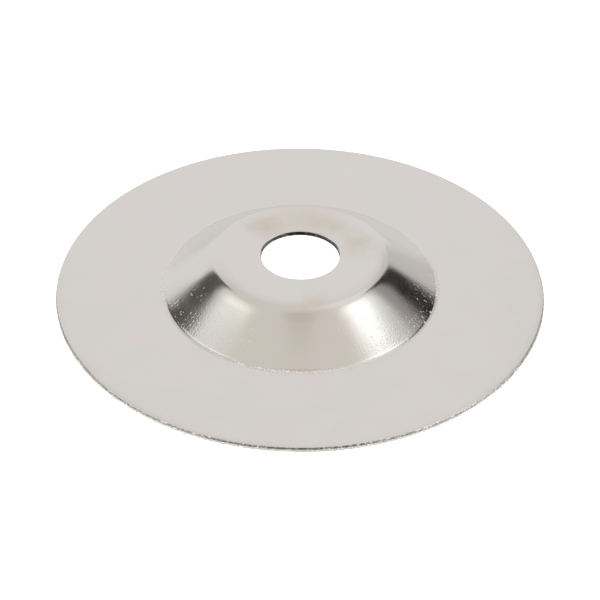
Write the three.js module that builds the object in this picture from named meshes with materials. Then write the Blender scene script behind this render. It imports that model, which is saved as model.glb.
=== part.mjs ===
// A 100 mm electroplated diamond grinding wheel for an angle grinder, in millimetres, +Z up.
//
// The wheel is a pressed steel disc: a flat flange with a raised boss in its middle and a punched bore through the
// boss. Its working face is the underside of the flange. A layer of nickel is plated on that face and round the rim,
// and holds a single layer of diamond grit. The wheel lies on its working face, with the origin on the bore's axis
// in the plane of the grit's tips.
import * as THREE from 'three';

// Driving dimensions.
const WHEEL_RADIUS = 50;
const BORE_RADIUS = 8;
const STEEL_THICKNESS = 1.0;
const BOSS_RISE = 7.6; // top of the boss above the top of the flange
const BOSS_BASE_RADIUS = 28; // where the flank's line meets the top of the flange
const FLANK_ANGLE = THREE.MathUtils.degToRad(36); // slope of the flank from the flange's plane
const SHOULDER_RADIUS = 4.5; // bend between the boss's top and its flank, on the upper surface
const ROOT_RADIUS = 1.0; // bend between the flank and the flange, on the upper surface

const BOND_THICKNESS = 0.12; // plated nickel under the grit's tips
const GRIT_PROUD = 0.13; // how far the grit stands out of the nickel
const GRIT_INNER_RADIUS = 29; // where the plated band starts on the working face
const BARE_RIM = 0.45; // strip of the rim below its top edge that the plating doesn't reach

// Worked out from them.
const COATING = BOND_THICKNESS + GRIT_PROUD;
const STEEL_RADIUS = WHEEL_RADIUS - COATING;
const FLANGE_TOP = COATING + STEEL_THICKNESS;
const BOSS_TOP = FLANGE_TOP + BOSS_RISE;
const COATING_TOP = FLANGE_TOP - BARE_RIM;

// Every piece is turned with the same number of steps, so that the layers' faceted walls meet exactly.
const TURN_STEPS = 96;
const ARC_STEPS = 4;

// A closed outline in the plane of radius and height, drawn clockwise and turned about the wheel's axis.
function turned(name, outline, material) {
  const points = outline.getPoints(ARC_STEPS).reverse(); // LatheGeometry's faces point out of an anticlockwise one
  points[points.length - 1].copy(points[0]);
  const geometry = new THREE.LatheGeometry(points, TURN_STEPS);
  geometry.rotateX(Math.PI / 2);
  const mesh = new THREE.Mesh(geometry, material);
  mesh.name = name;
  return mesh;
}

// Section of the pressed disc: the upper surface from the bore to the rim, then the lower one back, a sheet's
// thickness below it. The two share the centres of their bends.
function discOutline() {
  const up = Math.PI / 2;
  const shoulderTangent = SHOULDER_RADIUS * Math.tan(FLANK_ANGLE / 2);
  const rootTangent = ROOT_RADIUS * Math.tan(FLANK_ANGLE / 2);
  const flankRun = BOSS_RISE / Math.tan(FLANK_ANGLE);
  const shoulder = new THREE.Vector2(
    BOSS_BASE_RADIUS - flankRun - shoulderTangent,
    BOSS_TOP - SHOULDER_RADIUS,
  );
  const root = new THREE.Vector2(BOSS_BASE_RADIUS + rootTangent, FLANGE_TOP + ROOT_RADIUS);

  const outline = new THREE.Path();
  outline.moveTo(BORE_RADIUS, BOSS_TOP - STEEL_THICKNESS);
  outline.lineTo(BORE_RADIUS, BOSS_TOP);
  outline.absarc(shoulder.x, shoulder.y, SHOULDER_RADIUS, up, up - FLANK_ANGLE, true);
  outline.absarc(root.x, root.y, ROOT_RADIUS, -up - FLANK_ANGLE, -up, false);
  outline.lineTo(STEEL_RADIUS, FLANGE_TOP);
  outline.lineTo(STEEL_RADIUS, COATING);
  outline.absarc(root.x, root.y, ROOT_RADIUS + STEEL_THICKNESS, -up, -up - FLANK_ANGLE, true);
  outline.absarc(shoulder.x, shoulder.y, SHOULDER_RADIUS - STEEL_THICKNESS, up - FLANK_ANGLE, up, false);
  outline.closePath();
  return outline;
}

// Section of a layer that lies under the flange and turns up round the rim. Both its surfaces are given by how far
// they are from the steel.
function layerOutline(near, far) {
  const outline = new THREE.Path();
  outline.moveTo(GRIT_INNER_RADIUS, COATING - near);
  outline.lineTo(STEEL_RADIUS + near, COATING - near);
  outline.lineTo(STEEL_RADIUS + near, COATING_TOP);
  outline.lineTo(STEEL_RADIUS + far, COATING_TOP);
  outline.lineTo(STEEL_RADIUS + far, COATING - far);
  outline.lineTo(GRIT_INNER_RADIUS, COATING - far);
  outline.closePath();
  return outline;
}

const brightNickel = new THREE.MeshStandardMaterial({ color: 0xd5d1ce, roughness: 0.28, metalness: 1.0 });
const dullNickel = new THREE.MeshStandardMaterial({ color: 0x9b968e, roughness: 0.5, metalness: 1.0 });
const diamond = new THREE.MeshStandardMaterial({ color: 0x6f6c64, roughness: 0.35, metalness: 0.2 });

const wheel = new THREE.Group();
wheel.add(
  turned('steel_disc', discOutline(), brightNickel),
  turned('nickel_bond', layerOutline(0, BOND_THICKNESS), dullNickel),
  turned('diamond_grit', layerOutline(BOND_THICKNESS, COATING), diamond),
);

export default wheel;
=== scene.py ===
"""The looks of the diamond grinding wheel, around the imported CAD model.

Lengths are in metres unless a name or comment says otherwise. Azimuths are measured at the wheel's axis:
0 is straight behind the wheel as the camera sees it (+Y), and 90 is to the camera's right (+X).
"""

import math

import bmesh
import bpy
import numpy as np
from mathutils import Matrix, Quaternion, Vector


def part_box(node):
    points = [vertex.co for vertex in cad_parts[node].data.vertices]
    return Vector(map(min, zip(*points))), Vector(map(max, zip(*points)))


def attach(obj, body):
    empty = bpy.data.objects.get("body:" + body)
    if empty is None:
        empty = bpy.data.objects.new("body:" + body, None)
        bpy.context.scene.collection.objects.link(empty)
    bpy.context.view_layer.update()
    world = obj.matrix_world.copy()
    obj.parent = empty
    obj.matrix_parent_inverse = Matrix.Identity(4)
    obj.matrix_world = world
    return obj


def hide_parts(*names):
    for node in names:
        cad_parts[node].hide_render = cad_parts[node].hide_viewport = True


MM = 0.001
CLOSE = 0.01 * MM  # lengths that differ by less are taken as the same
TAU = 2 * math.pi

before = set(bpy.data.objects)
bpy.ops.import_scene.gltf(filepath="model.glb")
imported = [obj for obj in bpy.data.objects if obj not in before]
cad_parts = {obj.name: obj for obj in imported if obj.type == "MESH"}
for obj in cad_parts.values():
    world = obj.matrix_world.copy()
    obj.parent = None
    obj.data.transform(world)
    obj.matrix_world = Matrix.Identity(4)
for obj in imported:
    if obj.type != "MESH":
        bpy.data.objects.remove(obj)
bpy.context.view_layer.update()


# ---------------------------------------------------------------- the CAD section


def section_chain(node):
    """The (radius, height) points of a node's upper surface along +X, from the inside out to the rim."""
    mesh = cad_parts[node].data
    places = [
        (round(v.co.x / CLOSE), round(v.co.z / CLOSE)) if v.co.x > 0 and abs(v.co.y) < CLOSE else None
        for v in mesh.vertices
    ]
    neighbours = {}
    for edge in mesh.edges:
        a, b = (places[i] for i in edge.vertices)
        if a and b and a != b:
            neighbours.setdefault(a, set()).add(b)
            neighbours.setdefault(b, set()).add(a)
    inside = min(r for r, z in neighbours)
    rim = max(r for r, z in neighbours)
    chain = [max(p for p in neighbours if p[0] == inside)]
    while chain[-1][0] < rim:
        chain.append(max(neighbours[chain[-1]] - set(chain)))
    return [Vector((r, z)) * CLOSE for r, z in chain]


class Sheet:
    """The pressed disc's dimensions, read from the CAD node's section."""

    def __init__(self, node):
        chain = section_chain(node)
        low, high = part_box(node)
        # the flank is the longest span that falls outwards
        spans = [(b - a).length if a.y > b.y else 0.0 for a, b in zip(chain, chain[1:])]
        flank = spans.index(max(spans))
        flank_top, flank_foot = chain[flank], chain[flank + 1]
        self.bore = chain[0].x
        self.top = high.z
        self.rim = high.x
        self.flange_top = chain[-1].y
        self.thickness = self.flange_top - low.z
        self.shoulder_start = chain[1].x
        self.foot = chain[-2].x
        self.slope = math.atan2(flank_top.y - flank_foot.y, flank_foot.x - flank_top.x)
        self.shoulder_radius = (flank_top.x - self.shoulder_start) / math.sin(self.slope)
        self.root_radius = (self.foot - flank_foot.x) / math.sin(self.slope)


sheet = Sheet("steel_disc")
bond_low, bond_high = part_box("nickel_bond")
grit_low, grit_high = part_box("diamond_grit")
WORK_FACE = sheet.flange_top - sheet.thickness  # the steel's lower surface, which the bond is plated on
PLATED_FROM = section_chain("diamond_grit")[0].x


# ---------------------------------------------------------------- meshes


def arc(centre, radius, start, end, steps):
    """Points on an arc in the plane of radius and height, with angles in radians from the radius axis."""
    angles = np.linspace(start, end, steps)
    return [(centre[0] + radius * math.cos(a), centre[1] + radius * math.sin(a)) for a in angles]


def subdivided(points, longest):
    """A closed outline with every span longer than longest cut into equal shorter ones."""
    out = []
    for a, b in zip(points, points[1:] + points[:1]):
        pieces = max(1, math.ceil(math.dist(a, b) / longest))
        out += [
            (a[0] + (b[0] - a[0]) * i / pieces, a[1] + (b[1] - a[1]) * i / pieces)
            for i in range(pieces)
        ]
    return out


def mesh_object(name, vertices, faces, material, sharp_deg=None):
    """A mesh object of these vertices and faces, smooth except at edges sharper than sharp_deg."""
    mesh = bpy.data.meshes.new(name)
    mesh.from_pydata(vertices, [], faces)
    mesh.validate()
    if sharp_deg is not None:
        mesh.shade_smooth()
        mesh.set_sharp_from_angle(angle=math.radians(sharp_deg))
    mesh.materials.append(material)
    made = bpy.data.objects.new(name, mesh)
    bpy.context.scene.collection.objects.link(made)
    return made


def revolved(outline, segments):
    """Vertices, ring by ring, and faces of an anticlockwise outline turned about the wheel's axis."""
    count = len(outline)
    angles = np.arange(segments) * TAU / segments
    radius = np.array([p[0] for p in outline])[:, None]
    height = np.array([p[1] for p in outline])[:, None]
    grid = np.stack([radius * np.cos(angles), radius * np.sin(angles), height + 0 * angles], axis=2)
    ring, step = np.meshgrid(np.arange(count), np.arange(segments), indexing="ij")
    next_ring = (ring + 1) % count
    next_step = (step + 1) % segments
    corners = [
        ring * segments + step,
        ring * segments + next_step,
        next_ring * segments + next_step,
        next_ring * segments + step,
    ]
    faces = np.stack(corners, axis=2).reshape(-1, 4)
    return grid.reshape(-1, 3), faces


def rippled(points, seed, waves, longest, height):
    """A smooth random field over the plan of the points: a sum of sine waves in random directions."""
    rng = np.random.default_rng(seed)
    total = np.zeros(len(points))
    for _ in range(waves):
        heading, phase = rng.uniform(0, TAU, 2)
        length = longest * rng.uniform(0.45, 1.0)
        along = points[:, 0] * math.cos(heading) + points[:, 1] * math.sin(heading)
        total += np.sin(along * TAU / length + phase)
    return total * height / math.sqrt(waves)


# ---------------------------------------------------------------- node trees


class Tree:
    """A node tree with a short call for each kind of node that the materials and the studio light use."""

    def __init__(self, owner):
        owner.use_nodes = True
        self.tree = owner.node_tree
        self.tree.nodes.clear()

    def add(self, kind, inputs=None, **settings):
        node = self.tree.nodes.new(kind)
        for name, value in settings.items():
            setattr(node, name, value)
        for name, value in (inputs or {}).items():
            if isinstance(value, bpy.types.NodeSocket):
                self.tree.links.new(value, node.inputs[name])
            else:
                node.inputs[name].default_value = value
        return node

    def math(self, operation, a, b=0.0):
        return self.add("ShaderNodeMath", {0: a, 1: b}, operation=operation).outputs[0]

    def vector(self, operation, a, b=(0.0, 0.0, 0.0), output=0):
        return self.add("ShaderNodeVectorMath", {0: a, 1: b}, operation=operation).outputs[output]

    def scaled(self, a, factor):
        return self.add("ShaderNodeVectorMath", {0: a, "Scale": factor}, operation="SCALE").outputs[0]

    def noise(self, at, size, detail=2.0, roughness=0.5):
        """Noise with blotches of about this size, from 0 to 1 with most of it near 0.5."""
        inputs = {"Vector": at, "Scale": 1 / size, "Detail": detail, "Roughness": roughness}
        return self.add("ShaderNodeTexNoise", inputs).outputs[0]

    def ramp(self, value, start, end, low=0.0, high=1.0):
        """value mapped smoothly from start..end to low..high, and held at those outside."""
        inputs = {"Value": value, "From Min": start, "From Max": end, "To Min": low, "To Max": high}
        return self.add("ShaderNodeMapRange", inputs, interpolation_type="SMOOTHSTEP").outputs[0]

    def mix(self, factor, a, b):
        """Two colours mixed. The node's colour sockets are its inputs 6 and 7 and its output 2."""
        inputs = {"Factor": factor, 6: a, 7: b}
        return self.add("ShaderNodeMix", inputs, data_type="RGBA").outputs[2]

    def bump(self, height, depth, normal=None):
        """A bump whose height of 1 stands depth proud of the surface."""
        inputs = {"Height": height, "Distance": depth, "Strength": 1.0}
        if normal is not None:
            inputs["Normal"] = normal
        return self.add("ShaderNodeBump", inputs).outputs[0]

    def around_axis(self, at):
        """The unit vector from the wheel's axis towards the point at, and its distance from the axis."""
        flat = self.vector("MULTIPLY", at, (1.0, 1.0, 0.0))
        return self.vector("NORMALIZE", flat), self.vector("LENGTH", flat, output=1)


def new_material(name):
    material = bpy.data.materials.new(name)
    return material, Tree(material)


def rgb(red, green, blue):
    return (red, green, blue, 1.0)


def finish_material(tree, inputs):
    """Principled BSDF with these inputs, joined to the material's output."""
    shader = tree.add("ShaderNodeBsdfPrincipled", inputs)
    tree.add("ShaderNodeOutputMaterial", {"Surface": shader.outputs[0]})


# ---------------------------------------------------------------- materials


STAINS = (
    # azimuth in degrees, distance from the axis, size, strength: beige clouds round the bore
    (0, 12.0 * MM, 13.0 * MM, 0.36),
    (40, 12.0 * MM, 4.5 * MM, 0.40),
    (62, 12.5 * MM, 4.5 * MM, 0.35),
    (18, 12.5 * MM, 5.0 * MM, 0.30),
    (-38, 12.0 * MM, 5.5 * MM, 0.60),
    (78, 12.0 * MM, 6.0 * MM, 0.40),
    (170, 15.5 * MM, 4.5 * MM, 0.30),
)
STAIN_RAGGED = 3 * MM  # size of the tatters at a stain's edge
STAIN_SHIFT = 5 * MM  # how far the tatters reach
CUT_DEPTH = 0.04 * MM  # how far in from the bore's and the rim's walls counts as their sheared surface
PATCH_SIZE = 0.7 * MM  # of the sheared walls' light and dark patches
BURR_SIZE = 0.45 * MM
# specks: small frost dots in the plating, coloured near white as painted glints
SPECK_WIDTH, SPECK_LENGTH = 0.30 * MM, 0.6 * MM  # of the cell that holds a speck
SPECK_SIZE = 0.38  # in cells
FROSTED_SHARE, STRAY_SHARE = 0.34, 0.01  # of the cells that hold a speck, on the lower flank and above it
SPECK_DEPTH = 0.02 * MM
GRAIN_SIZE, GRAIN_DEPTH = 0.38 * MM, 0.045 * MM
MARK_WIDTH, MARK_LENGTH, MARK_DEPTH = 0.3 * MM, 4 * MM, 0.014 * MM
HAZE_SIZE = 5 * MM


def stain(tree, at):
    """How stained the boss is: a few soft spots with ragged edges."""
    noise = tree.add("ShaderNodeTexNoise", {"Vector": at, "Scale": 1 / STAIN_RAGGED, "Detail": 3.0})
    shifted = tree.vector("ADD", at, tree.scaled(noise.outputs["Color"], STAIN_SHIFT))
    moved = tree.vector("ADD", shifted, (-STAIN_SHIFT / 2,) * 3)
    total = 0.0
    for azimuth_deg, out, size, strength in STAINS:
        azimuth = math.radians(azimuth_deg)
        middle = (out * math.sin(azimuth), out * math.cos(azimuth), sheet.top)
        near = tree.ramp(tree.vector("DISTANCE", moved, middle, output=1), size, 0.0, 0.0, strength)
        total = tree.math("ADD", near, total)
    return total


def nickel_tint(tree, at):
    """Pale nickel with faint pink and green clouds, and the stains."""
    elsewhere = tree.vector("ADD", at, (0.3, 0.1, 0.2))  # so that the two kinds of cloud don't coincide
    pink = tree.ramp(tree.noise(at, 8 * MM, detail=3.0), 0.42, 0.65)
    green = tree.ramp(tree.noise(elsewhere, 11 * MM, detail=3.0), 0.42, 0.65)
    tint = tree.mix(pink, rgb(0.862, 0.852, 0.840), rgb(0.872, 0.838, 0.836))
    tint = tree.mix(green, tint, rgb(0.842, 0.850, 0.820))
    return tree.mix(stain(tree, at), tint, rgb(0.74, 0.66, 0.55))


def sheared(tree, at, radius):
    """Where the walls of the bore and the rim are, their patchy colour, and where the rim has burrs. The
    bore's wall is darker sheared steel, coloured almost black beyond that as painted shade: the dark
    reflection of the shaded hollow under the boss.
    """
    bore = tree.math("LESS_THAN", radius, sheet.bore + CUT_DEPTH)
    rim = tree.math("GREATER_THAN", radius, sheet.rim - CUT_DEPTH)
    burrs = tree.ramp(tree.noise(at, BURR_SIZE, detail=2.0), 0.56, 0.68)
    patches = tree.ramp(tree.noise(at, PATCH_SIZE, detail=3.0), 0.45, 0.68)
    on_rim = tree.mix(patches, rgb(0.45, 0.43, 0.41), rgb(0.86, 0.84, 0.81))
    # painted shade: the bore's wall is coloured almost black, standing in for the shaded hollow under the
    # boss that it mirrors
    bore_painted_shade = tree.mix(patches, rgb(0.070, 0.058, 0.048), rgb(0.26, 0.24, 0.22))
    return tree.math("ADD", bore, rim), tree.mix(bore, on_rim, bore_painted_shade), tree.math("MULTIPLY", burrs, rim)


def dots(tree, at, share, size):
    """Small dots of different strengths in this share of the unit cells, and 0 between them."""
    cells = tree.add("ShaderNodeTexVoronoi", {"Vector": at, "Scale": 1.0})
    lot = tree.vector("DOT_PRODUCT", cells.outputs["Color"], (1, 0, 0), output=1)
    strength = tree.ramp(lot, share, 0.0)
    return tree.math("MULTIPLY", tree.ramp(cells.outputs["Distance"], size, 0.3 * size), strength)


def flank_masks(tree, at, around, radius):
    """Masks for the boss's flank, for the wheel's left and right, and for the lower flank there."""
    height = tree.vector("DOT_PRODUCT", at, (0, 0, 1), output=1)
    sideways = tree.vector("DOT_PRODUCT", around, (1, 0, 0), output=1)
    on_flank = tree.math(
        "MULTIPLY",
        tree.ramp(radius, sheet.shoulder_start + 1 * MM, sheet.shoulder_start + 3 * MM),
        tree.ramp(radius, sheet.foot - 0.3 * MM, sheet.foot - 0.9 * MM),
    )
    low = tree.ramp(height, sheet.top - 1.5 * MM, sheet.flange_top)
    aside = tree.ramp(tree.math("ABSOLUTE", sideways), 0.30, 0.65)
    return on_flank, aside, tree.math("MULTIPLY", tree.math("MULTIPLY", on_flank, low), aside)


def drawn_coordinates(tree, around, radius, width, length):
    """Coordinates whose unit cell is width wide round the boss's foot and length long radially."""
    spun = tree.scaled(around, sheet.foot / width)
    along = tree.scaled((0.0, 0.0, 1.0), tree.math("DIVIDE", radius, length))
    return tree.vector("ADD", spun, along)


def bright_nickel():
    """Bright plating over pressed steel. Grain, drawing marks and specks frost the boss's sides, and the
    specks are also painted glints: near white and less metallic. The bore's wall has painted shade.
    """
    material, tree = new_material("bright_nickel")
    at = tree.add("ShaderNodeTexCoord").outputs["Object"]
    around, radius = tree.around_axis(at)
    on_flank, aside, frost = flank_masks(tree, at, around, radius)

    strays = tree.math("MULTIPLY", aside, STRAY_SHARE)
    share = tree.math("ADD", tree.math("MULTIPLY", frost, FROSTED_SHARE), strays)
    speck_cells = drawn_coordinates(tree, around, radius, SPECK_WIDTH, SPECK_LENGTH)
    specks = tree.math("MULTIPLY", dots(tree, speck_cells, share, SPECK_SIZE), on_flank)
    walls, wall_colour_and_painted_shade, burrs = sheared(tree, at, radius)
    # the specks and the rim's burrs are frost; they are mixed below to near white, which on the specks is
    # a painted glint
    frost_and_painted_glints = tree.math("MULTIPLY", tree.math("MAXIMUM", specks, burrs), 0.85)

    crease = tree.math(
        "MULTIPLY",
        tree.ramp(radius, sheet.foot - 1.2 * MM, sheet.foot - 0.5 * MM),
        tree.ramp(radius, sheet.foot + 0.9 * MM, sheet.foot + 0.2 * MM),
    )
    rough = tree.math("ADD", tree.math("MULTIPLY", frost, 0.35), tree.math("MULTIPLY", crease, 0.05))
    grain = tree.math("MULTIPLY", tree.noise(at, GRAIN_SIZE, detail=2.0), tree.math("ADD", rough, 0.12))
    marks = tree.noise(drawn_coordinates(tree, around, radius, MARK_WIDTH, MARK_LENGTH), 1.0, detail=2.0)
    normal = tree.bump(grain, GRAIN_DEPTH)
    normal = tree.bump(tree.math("MULTIPLY", marks, frost), MARK_DEPTH, normal)
    normal = tree.bump(specks, SPECK_DEPTH, normal)

    haze = tree.ramp(tree.noise(at, HAZE_SIZE, detail=4.0), 0.3, 0.75, 0.14, 0.19)
    roughness = tree.math("ADD", haze, tree.math("MULTIPLY", walls, 0.25))
    # the walls' colour, with painted shade on the bore's wall
    colour = tree.mix(walls, nickel_tint(tree, at), wall_colour_and_painted_shade)
    finish_material(tree, {
        # painted glints: the specks are turned near white and less metallic, so that they shine whatever
        # they face
        "Base Color": tree.mix(frost_and_painted_glints, colour, rgb(0.95, 0.94, 0.92)),
        "Metallic": tree.math("SUBTRACT", 1.0, frost_and_painted_glints),
        "Roughness": tree.math("ADD", roughness, tree.math("MULTIPLY", frost_and_painted_glints, 0.3)),
        "Normal": normal,
    })
    return material


def beaded_nickel_painted_glints():
    """The same plating where it grew into beads, rough and pale; the near-white colour is a painted
    glint, so that each bead sparkles.
    """
    material, tree = new_material("beaded_nickel_painted_glints")
    at = tree.add("ShaderNodeTexCoord").outputs["Object"]
    fine = tree.noise(at, 0.08 * MM, detail=2.0)
    patches = tree.ramp(fine, 0.35, 0.65)
    finish_material(tree, {
        # painted glints: near white and only half metallic, so the beads look bright whatever they face
        "Base Color": tree.mix(patches, rgb(0.97, 0.96, 0.94), rgb(0.90, 0.89, 0.87)),
        "Metallic": 0.5,
        "Roughness": tree.ramp(fine, 0.3, 0.7, 0.30, 0.45),
    })
    return material


def dull_nickel():
    """The electroplated layer that holds the grit: matt, grey and rough."""
    material, tree = new_material("dull_nickel")
    at = tree.add("ShaderNodeTexCoord").outputs["Object"]
    clouds = tree.ramp(tree.noise(at, 6 * MM, detail=4.0), 0.35, 0.65)
    fine = tree.noise(at, 0.12 * MM, detail=3.0)
    finish_material(tree, {
        "Base Color": tree.mix(clouds, rgb(0.70, 0.68, 0.64), rgb(0.82, 0.80, 0.75)),
        "Metallic": 0.6,
        "Roughness": tree.ramp(fine, 0.3, 0.7, 0.34, 0.55),
        "Normal": tree.bump(fine, 0.03 * MM),
    })
    return material


DIAMOND_IOR = 2.42


def diamond(name, pale, dark):
    """One shade of diamond crystal, cloudier in places."""
    material, tree = new_material(name)
    at = tree.add("ShaderNodeTexCoord").outputs["Object"]
    each = tree.noise(at, 0.5 * MM, detail=1.0)
    finish_material(tree, {
        "Base Color": tree.mix(tree.ramp(each, 0.35, 0.65), pale, dark),
        "Roughness": tree.ramp(each, 0.3, 0.7, 0.06, 0.2),
        "IOR": DIAMOND_IOR,
    })
    return material


# ---------------------------------------------------------------- the wheel

SEGMENTS = 600  # steps round the wheel's axis
RING_SPACING = 1.3 * MM  # between the disc's rings of vertices, at most
RIM_ROUND = 0.16 * MM  # radius of the rim's upper edge
BORE_ROUND = 0.20 * MM  # radius of the bore's upper edge
BORE_BREAK = 0.08 * MM  # chamfer of the bore's lower edge
BEND_STEPS = 16
GENTLE_STEPS = 10
CROWN_STEPS = 7
EDGE_STEPS = 9
BEND_RADIUS = 4.5 * MM  # of the shoulder, inside the easing
EASING_RADIUS = 22 * MM  # of the flank's uppermost part, which eases into the shoulder
EASING_SLOPE = math.radians(29)  # where the easing meets the shoulder
ROOT_BEND = 2.0 * MM  # radius of the crease at the foot of the boss
CROWN_RADIUS = 27 * MM  # of the outer part of the boss's top, which falls away towards the shoulder
CROWN_SLOPE = math.radians(6)
FLANK_BOW = math.radians(2.6)  # how much steeper the flank is at its foot than at its top
RIPPLE_HEIGHT = 0.003 * MM
RIPPLE_LENGTH = 12 * MM


def bend(start, slopes, radius, steps):
    """Points going inwards and up a convex bend from start, from the first of slopes down to the last."""
    steep, shallow = slopes
    middle = (start[0] - radius * math.sin(steep), start[1] - radius * math.cos(steep))
    return arc(middle, radius, math.pi / 2 - steep, math.pi / 2 - shallow, steps)[1:]


def boss_top():
    """The upper surface from the foot of the boss inwards: root bend, flank, easing, shoulder and crown.

    The flank is a very shallow bend. Its length is the one that brings the crown to the CAD's height.
    """
    up = math.pi / 2
    steep = sheet.slope + FLANK_BOW / 2
    shallow = sheet.slope - FLANK_BOW / 2
    crease = sheet.foot - sheet.root_radius * math.tan(sheet.slope / 2)
    root = (crease + ROOT_BEND * math.tan(sheet.slope / 2), sheet.flange_top + ROOT_BEND)
    points = arc(root, ROOT_BEND, -up, -up - steep, BEND_STEPS)
    bends = (
        ((shallow, EASING_SLOPE), EASING_RADIUS, GENTLE_STEPS),
        ((EASING_SLOPE, CROWN_SLOPE), BEND_RADIUS, BEND_STEPS),
        ((CROWN_SLOPE, 0), CROWN_RADIUS, CROWN_STEPS),
    )
    above = sum(radius * (math.cos(end) - math.cos(start)) for (start, end), radius, steps in bends)
    rise = sheet.top - above - points[-1][1]
    flank_radius = rise / (math.cos(shallow) - math.cos(steep))
    points += bend(points[-1], (steep, shallow), flank_radius, GENTLE_STEPS)
    for slopes, radius, steps in bends:
        points += bend(points[-1], slopes, radius, steps)
    return points


def disc_outline():
    """The pressed disc's section, anticlockwise: out along the lower surface and back on top."""
    up = math.pi / 2
    shoulder = (sheet.shoulder_start, sheet.top - sheet.shoulder_radius)
    root = (sheet.foot, sheet.flange_top + sheet.root_radius)
    rim = (sheet.rim - RIM_ROUND, sheet.flange_top - RIM_ROUND)
    bore = (sheet.bore + BORE_ROUND, sheet.top - BORE_ROUND)
    under = sheet.top - sheet.thickness
    points = [(sheet.bore + BORE_BREAK, under)]
    points += arc(shoulder, sheet.shoulder_radius - sheet.thickness, up, up - sheet.slope, BEND_STEPS)
    points += arc(root, sheet.root_radius + sheet.thickness, -up - sheet.slope, -up, BEND_STEPS)
    points += [(sheet.rim, WORK_FACE)]
    points += arc(rim, RIM_ROUND, 0, up, EDGE_STEPS)
    points += boss_top()
    points += arc(bore, BORE_ROUND, up, 2 * up, EDGE_STEPS - 1)
    points += [(sheet.bore, under + BORE_BREAK)]
    return points


def pressed_disc(material):
    """The plated sheet, with the slight ripple that pressing leaves, none of it above the CAD's disc."""
    vertices, faces = revolved(subdivided(disc_outline(), RING_SPACING), SEGMENTS)
    ripple = rippled(vertices, seed=3, waves=9, longest=RIPPLE_LENGTH, height=RIPPLE_HEIGHT)
    vertices[:, 2] -= ripple.max() - ripple
    disc = mesh_object("pressed_disc", vertices, faces, material, sharp_deg=40)
    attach(disc, "root")
    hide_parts("steel_disc")


NODULE_COUNT = 360
NODULE_SIZE = 0.17 * MM
# Places for them: nearest and farthest in from the foot of the boss, and relative size.
IN_CREASE = (0.2 * MM, 0.8 * MM, 1.0)
ON_FLANK = (1.1 * MM, 2.8 * MM, 0.5)
NODULE_CLUSTERS = (
    # middle and spread in degrees of azimuth, and which of the two places
    (200, 13, IN_CREASE),
    (182, 8, IN_CREASE),
    (-90, 9, IN_CREASE),
    (88, 9, IN_CREASE),
    (160, 20, IN_CREASE),
    (127, 9, ON_FLANK),
)


def height_near_foot(inward):
    """How high the boss's surface is this far in from its foot: on the root bend, then on the flank."""
    bend_end = ROOT_BEND * math.sin(sheet.slope)
    on_bend = ROOT_BEND - math.sqrt(ROOT_BEND ** 2 - min(inward, bend_end) ** 2)
    return sheet.flange_top + on_bend + max(0.0, inward - bend_end) * math.tan(sheet.slope)


def plating_nodules(material):
    """Beads of plating that grew in clusters at the foot of the boss, in its crease and just above it."""
    rng = np.random.default_rng(21)
    foot = sheet.foot + (ROOT_BEND - sheet.root_radius) * math.tan(sheet.slope / 2)  # the wider bend's
    bead = bmesh.new()
    bmesh.ops.create_icosphere(bead, subdivisions=2, radius=1.0)
    shape = np.array([v.co for v in bead.verts])
    bead_faces = np.array([[v.index for v in face.verts] for face in bead.faces])
    bead.free()
    vertices, faces = [], []
    for number in range(NODULE_COUNT):
        middle, spread, (nearest, farthest, scale) = NODULE_CLUSTERS[rng.integers(len(NODULE_CLUSTERS))]
        azimuth = math.radians(rng.normal(middle, spread))
        inward = rng.uniform(nearest, farthest)
        out = foot - inward
        seat = (out * math.sin(azimuth), out * math.cos(azimuth), height_near_foot(inward))
        size = NODULE_SIZE * rng.uniform(0.5, 1.2) * scale
        vertices.append(shape * size + seat)
        faces.append(bead_faces + number * len(shape))
    vertices, faces = np.concatenate(vertices), np.concatenate(faces)
    beads = mesh_object("plating_nodules", vertices, faces, material, sharp_deg=180)
    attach(beads, "root")
    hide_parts("steel_disc")


BOND_RING = 0.33 * MM  # between the bond's rings of vertices, at most
BOND_CORNER = 0.2 * MM  # radius of its corner below the rim
BOND_TAPER = 0.1 * MM  # of its edge at the inside of the plated band
BOND_SHORT = 0.1 * MM  # how far its top edge stops below the CAD's, so that crystals stand above it
BOND_ROUGH = 0.02 * MM


def plated_bond(material):
    """The plated layer: a rough skin under the flange that turns up round the rim."""
    edge = bond_high.x
    top = bond_high.z - BOND_SHORT
    corner = (edge - BOND_CORNER, bond_low.z + BOND_CORNER)
    outline = [(PLATED_FROM, WORK_FACE), (PLATED_FROM + BOND_TAPER, bond_low.z)]
    outline += arc(corner, BOND_CORNER, -math.pi / 2, 0, 5)
    outline += [(edge, top), (sheet.rim, top), (sheet.rim, WORK_FACE)]
    vertices, faces = revolved(subdivided(outline, BOND_RING), SEGMENTS)
    rng = np.random.default_rng(11)
    below_steel = vertices[:, 2] < WORK_FACE - CLOSE
    beyond_steel = np.hypot(*vertices.T[:2]) > sheet.rim + CLOSE
    bumps = rng.uniform(-1, 0.2, len(vertices)) * BOND_ROUGH * (below_steel | beyond_steel)
    vertices[:, 2] -= bumps
    bond = mesh_object("plated_bond", vertices, faces, material, sharp_deg=60)
    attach(bond, "root")
    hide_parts("nickel_bond")


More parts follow.
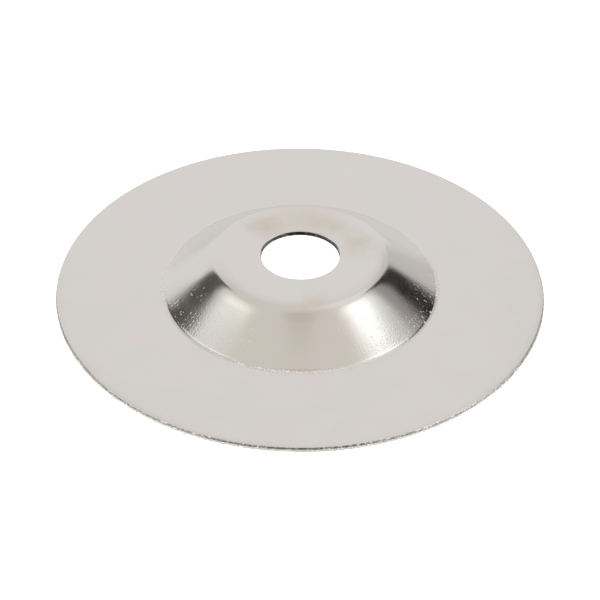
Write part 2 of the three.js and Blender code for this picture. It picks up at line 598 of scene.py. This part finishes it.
# Two crystal habits, as unit shapes: the cube and the octahedron.
CUBE_POINTS = np.array([(x, y, z) for x in (-1, 1) for y in (-1, 1) for z in (-1, 1)]) * 0.62
CUBE_FACES = np.array([
    (0, 1, 3, 2), (4, 6, 7, 5), (0, 4, 5, 1), (2, 3, 7, 6), (0, 2, 6, 4), (1, 5, 7, 3),
])
OCTAHEDRON_POINTS = np.array([(1, 0, 0), (-1, 0, 0), (0, 1, 0), (0, -1, 0), (0, 0, 1), (0, 0, -1)])
OCTAHEDRON_FACES = np.array([
    (0, 2, 4), (2, 1, 4), (1, 3, 4), (3, 0, 4), (2, 0, 5), (1, 2, 5), (3, 1, 5), (0, 3, 5),
])
GRIT_SPACING = 0.46 * MM
GRIT_SIZE = 0.17 * MM  # from a crystal's middle to its corner
GRIT_SHADES = (
    ("grit_clear", rgb(0.94, 0.93, 0.90), rgb(0.84, 0.83, 0.79)),
    ("grit_straw", rgb(0.93, 0.91, 0.84), rgb(0.84, 0.81, 0.71)),
    ("grit_grey", rgb(0.82, 0.82, 0.79), rgb(0.60, 0.60, 0.57)),
)


def turned_at_random(rng, count):
    """Rotation matrices spread evenly over all directions, from random unit quaternions."""
    q = rng.normal(size=(count, 4))
    w, x, y, z = (q / np.linalg.norm(q, axis=1)[:, None]).T
    rows = [
        [1 - 2 * (y * y + z * z), 2 * (x * y - w * z), 2 * (x * z + w * y)],
        [2 * (x * y + w * z), 1 - 2 * (x * x + z * z), 2 * (y * z - w * x)],
        [2 * (x * z - w * y), 2 * (y * z + w * x), 1 - 2 * (x * x + y * y)],
    ]
    return np.array(rows).transpose(2, 0, 1)


def row_angles(rng, radius):
    """Jittered angles for a ring of crystals at this radius."""
    count = int(TAU * radius / GRIT_SPACING)
    return (np.arange(count) + rng.uniform(-0.35, 0.35, count)) * TAU / count


def placed(angles, radii, heights):
    """Points at these angles, radii and heights, any of which may be one number for them all."""
    return np.stack([radii * np.cos(angles), radii * np.sin(angles), 0 * angles + heights], axis=1)


def grit_seats(rng):
    """Where each crystal is seated: points in jittered rows on the working face and round the rim."""
    seats = []
    for ring in np.arange(PLATED_FROM + GRIT_SPACING / 2, grit_high.x - 0.2 * MM, GRIT_SPACING):
        angles = row_angles(rng, ring)
        radii = ring + rng.uniform(-0.3, 0.3, len(angles)) * GRIT_SPACING
        seats.append(placed(angles, radii, bond_low.z))
    for row in np.arange(grit_low.z + 0.3 * MM, bond_high.z, 0.8 * GRIT_SPACING):
        angles = row_angles(rng, bond_high.x)
        heights = row + rng.uniform(-0.3, 0.3, len(angles)) * GRIT_SPACING
        seats.append(placed(angles, bond_high.x, heights))
    return np.concatenate(seats)


def crystals(rng, seats, points, faces):
    """Corners and faces of a crystal at each seat, turned at random and no prouder than in the CAD."""
    turns = turned_at_random(rng, len(seats))
    sizes = GRIT_SIZE * rng.uniform(0.75, 1.15, (len(seats), 1, 1))
    corners = np.einsum("nij,pj->npi", turns, points) * sizes
    corners *= rng.uniform(0.85, 1.1, corners.shape)
    corners += seats[:, None, :]
    corners[..., 2] = np.maximum(corners[..., 2], grit_low.z)
    radii = np.hypot(corners[..., 0], corners[..., 1])
    corners[..., :2] *= np.minimum(1, grit_high.x / radii)[..., None]
    numbered = faces[None] + (np.arange(len(seats)) * len(points))[:, None, None]
    return corners.reshape(-1, 3), numbered.reshape(-1, faces.shape[1])


def diamond_grit():
    """The crystals, dealt at random into one piece for each shade."""
    rng = np.random.default_rng(5)
    seats = grit_seats(rng)
    shade_of = rng.integers(0, len(GRIT_SHADES), len(seats))
    is_cube = rng.random(len(seats)) < 0.5
    for number, (name, pale, dark) in enumerate(GRIT_SHADES):
        mine = shade_of == number
        cubes, cube_faces = crystals(rng, seats[mine & is_cube], CUBE_POINTS, CUBE_FACES)
        others, other_faces = crystals(rng, seats[mine & ~is_cube], OCTAHEDRON_POINTS, OCTAHEDRON_FACES)
        faces = cube_faces.tolist() + (other_faces + len(cubes)).tolist()
        grit = mesh_object(name, np.concatenate([cubes, others]), faces, diamond(name, pale, dark))
        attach(grit, "root")
        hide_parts("diamond_grit")


# ---------------------------------------------------------------- the studio

# What the wheel mirrors: a pale tent over a table, with lamps and cards in it. Colours are radiances.
TENT = rgb(0.772, 0.748, 0.734)
TENT_TOP = rgb(0.675, 0.632, 0.580)
TABLE = rgb(0.66, 0.65, 0.64)
DARK_ROOM = rgb(0.035, 0.028, 0.024)
BLACK_CARD = rgb(0.015, 0.013, 0.011)
OLIVE_CARD = rgb(0.072, 0.070, 0.058)
SPOTS = (
    # middle as (azimuth, elevation), outer and inner radius, all in degrees, and radiance:
    # a gap in the tent's roof, a lamp's glow on the tent, and the lamp, a round softbox on the right
    ((180, 80), 15, 4, rgb(0.56, 0.51, 0.45)),
    ((40, 57), 25, 8, rgb(0.82, 0.80, 0.78)),
    ((86, 54), 17, 2.5, rgb(1.42, 1.41, 1.38)),
)
PANELS = (
    # corners of a convex panel as (azimuth, elevation) in degrees, softness of its edges, and radiance
    # the dark room beyond the front of the table, and the reflectors on the right and the left of it
    (((-150, -8), (-150, -75), (140, -75), (140, -8)), 0.15, DARK_ROOM),
    (((48, -10), (48, -70), (140, -70), (140, -10)), 0.12, rgb(1.25, 1.23, 1.20)),
    (((-60, -10), (-60, -70), (-140, -70), (-140, -10)), 0.12, rgb(0.88, 0.87, 0.86)),
    # dimmer folds of the tent, two on the right and one on the left
    (((28, -8), (24, 20), (33, 34), (48, 36), (52, -8)), 0.07, rgb(0.58, 0.56, 0.54)),
    (((11, 36), (12, 46), (30, 50), (46, 44), (40, 30), (24, 27)), 0.07, rgb(0.60, 0.58, 0.56)),
    (((-9, 41), (-10, 49), (-36, 50), (-34, 40)), 0.05, rgb(0.63, 0.61, 0.59)),
    # two grey cards on the right
    (((70, 36), (76, 41.5), (95, 43.5), (95, 28), (71, 28)), 0.05, rgb(0.58, 0.57, 0.56)),
    (((50, 52), (59.5, 49.5), (72.5, 34.5), (80, 20), (50, 20)), 0.07, rgb(0.30, 0.29, 0.28)),
    # a softbox on the left
    (((-73, 42), (-67, 46), (-90, 61.5), (-99, 56.5)), 0.08, rgb(1.21, 1.20, 1.12)),
    # two black cards on the right, one partly behind the other
    (
        ((35, 41), (36, 51), (41, 54), (49.5, 48), (56.5, 30), (60, 10), (45, 10), (38, 25)),
        0.035,
        BLACK_CARD,
    ),
    (((50, 31), (55, 30), (62, 26), (72, 14), (66, -8), (50, -8), (46, 12)), 0.035, BLACK_CARD),
    # two dark olive cards on the left, one partly behind the other
    (
        ((-53, 17), (-45.7, 23), (-37.2, 38), (-39, 52), (-55, 45), (-66, 33), (-66, 20)),
        0.03,
        OLIVE_CARD,
    ),
    (((-63, 34.5), (-76, 37), (-76, 18), (-58, 15)), 0.03, OLIVE_CARD),
)


def direction(azimuth_deg, elevation_deg):
    """The unit vector from the wheel towards this azimuth and elevation."""
    azimuth, elevation = math.radians(azimuth_deg), math.radians(elevation_deg)
    level = math.cos(elevation)
    return Vector((math.sin(azimuth) * level, math.cos(azimuth) * level, math.sin(elevation)))


def inside_panel(tree, ray, corners, softness):
    """1 where the ray meets the soft-edged panel with corners in these directions, and 0 elsewhere."""
    ways = [direction(*corner) for corner in corners]
    middle = sum(ways, Vector((0, 0, 0)))
    inside = 1.0
    for a, b in zip(ways, ways[1:] + ways[:1]):
        edge = a.cross(b).normalized()
        if edge.dot(middle) < 0:
            edge.negate()
        beyond = tree.vector("DOT_PRODUCT", ray, edge, output=1)
        inside = tree.math("MULTIPLY", tree.ramp(beyond, -softness, softness), inside)
    return inside


def studio_light():
    """The studio for what the wheel mirrors. The camera and matt surfaces see it plain white."""
    world = bpy.data.worlds.new("studio")
    bpy.context.scene.world = world
    tree = Tree(world)
    ray = tree.add("ShaderNodeTexCoord").outputs["Generated"]
    height = tree.vector("DOT_PRODUCT", ray, (0.0, 0.0, 1.0), output=1)  # the sine of the elevation
    light = tree.mix(tree.ramp(height, 0.65, 0.84), TENT, TENT_TOP)
    light = tree.mix(tree.ramp(height, -0.02, 0.01), TABLE, light)
    for middle, outer, inner, radiance in SPOTS:
        toward = tree.vector("DOT_PRODUCT", ray, direction(*middle), output=1)
        away = tree.math("ARCCOSINE", tree.math("MINIMUM", toward, 1.0))
        light = tree.mix(tree.ramp(away, math.radians(outer), math.radians(inner)), light, radiance)
    for corners, softness, radiance in PANELS:
        light = tree.mix(inside_panel(tree, ray, corners, softness), light, radiance)
    path = tree.add("ShaderNodeLightPath").outputs
    plain = tree.math("MAXIMUM", path["Is Camera Ray"], path["Is Diffuse Ray"])
    seen = tree.mix(plain, light, rgb(1.0, 1.0, 1.0))
    background = tree.add("ShaderNodeBackground", {"Color": seen, "Strength": 1.0})
    tree.add("ShaderNodeOutputWorld", {"Surface": background.outputs[0]})


TABLE_WIDTH = 6.0


def light_table():
    """A plain white table, lit from below so that nothing throws a shadow, and not mirrored in metal."""
    material, tree = new_material("light_table")
    finish_material(tree, {
        "Base Color": rgb(0.8, 0.8, 0.8),
        "Roughness": 1.0,
        "Emission Color": rgb(1.0, 1.0, 1.0),
        "Emission Strength": 1.0,
    })
    half, below = TABLE_WIDTH / 2, grit_low.z - 0.02 * MM
    corners = [(-half, -half, below), (half, -half, below), (half, half, below), (-half, half, below)]
    table = mesh_object("table", corners, [(0, 1, 2, 3)], material)
    table.visible_glossy = False


CAMERA_DISTANCE = 435.7 * MM
CAMERA_ELEVATION = math.radians(37.8)
CAMERA_ROLL = math.radians(0.44)
CAMERA_AIM = 5.17 * MM  # how far in front of the wheel's axis it looks
FOCAL_LENGTH_MM = 127.45
SENSOR_WIDTH_MM = 36


def camera():
    """A long lens in front of the wheel, looking down on it, turned a little about its own axis."""
    centre = Vector((0, 0, sheet.flange_top))
    aim = centre + Vector((0, -CAMERA_AIM, 0))
    away = Vector((0, -math.cos(CAMERA_ELEVATION), math.sin(CAMERA_ELEVATION)))
    lens = bpy.data.cameras.new("camera")
    lens.lens = FOCAL_LENGTH_MM
    lens.sensor_width = SENSOR_WIDTH_MM
    lens.clip_start = 0.01
    lens.clip_end = 20
    made = bpy.data.objects.new("camera", lens)
    made.location = centre + CAMERA_DISTANCE * away
    made.rotation_mode = "QUATERNION"
    level = (aim - made.location).to_track_quat("-Z", "Y")
    made.rotation_quaternion = level @ Quaternion((0, 0, 1), CAMERA_ROLL)
    bpy.context.scene.collection.objects.link(made)
    bpy.context.scene.camera = made


camera()
studio_light()
light_table()
bpy.context.scene.view_settings.view_transform = "Standard"

pressed_disc(bright_nickel())
plating_nodules(beaded_nickel_painted_glints())
plated_bond(dull_nickel())
diamond_grit()
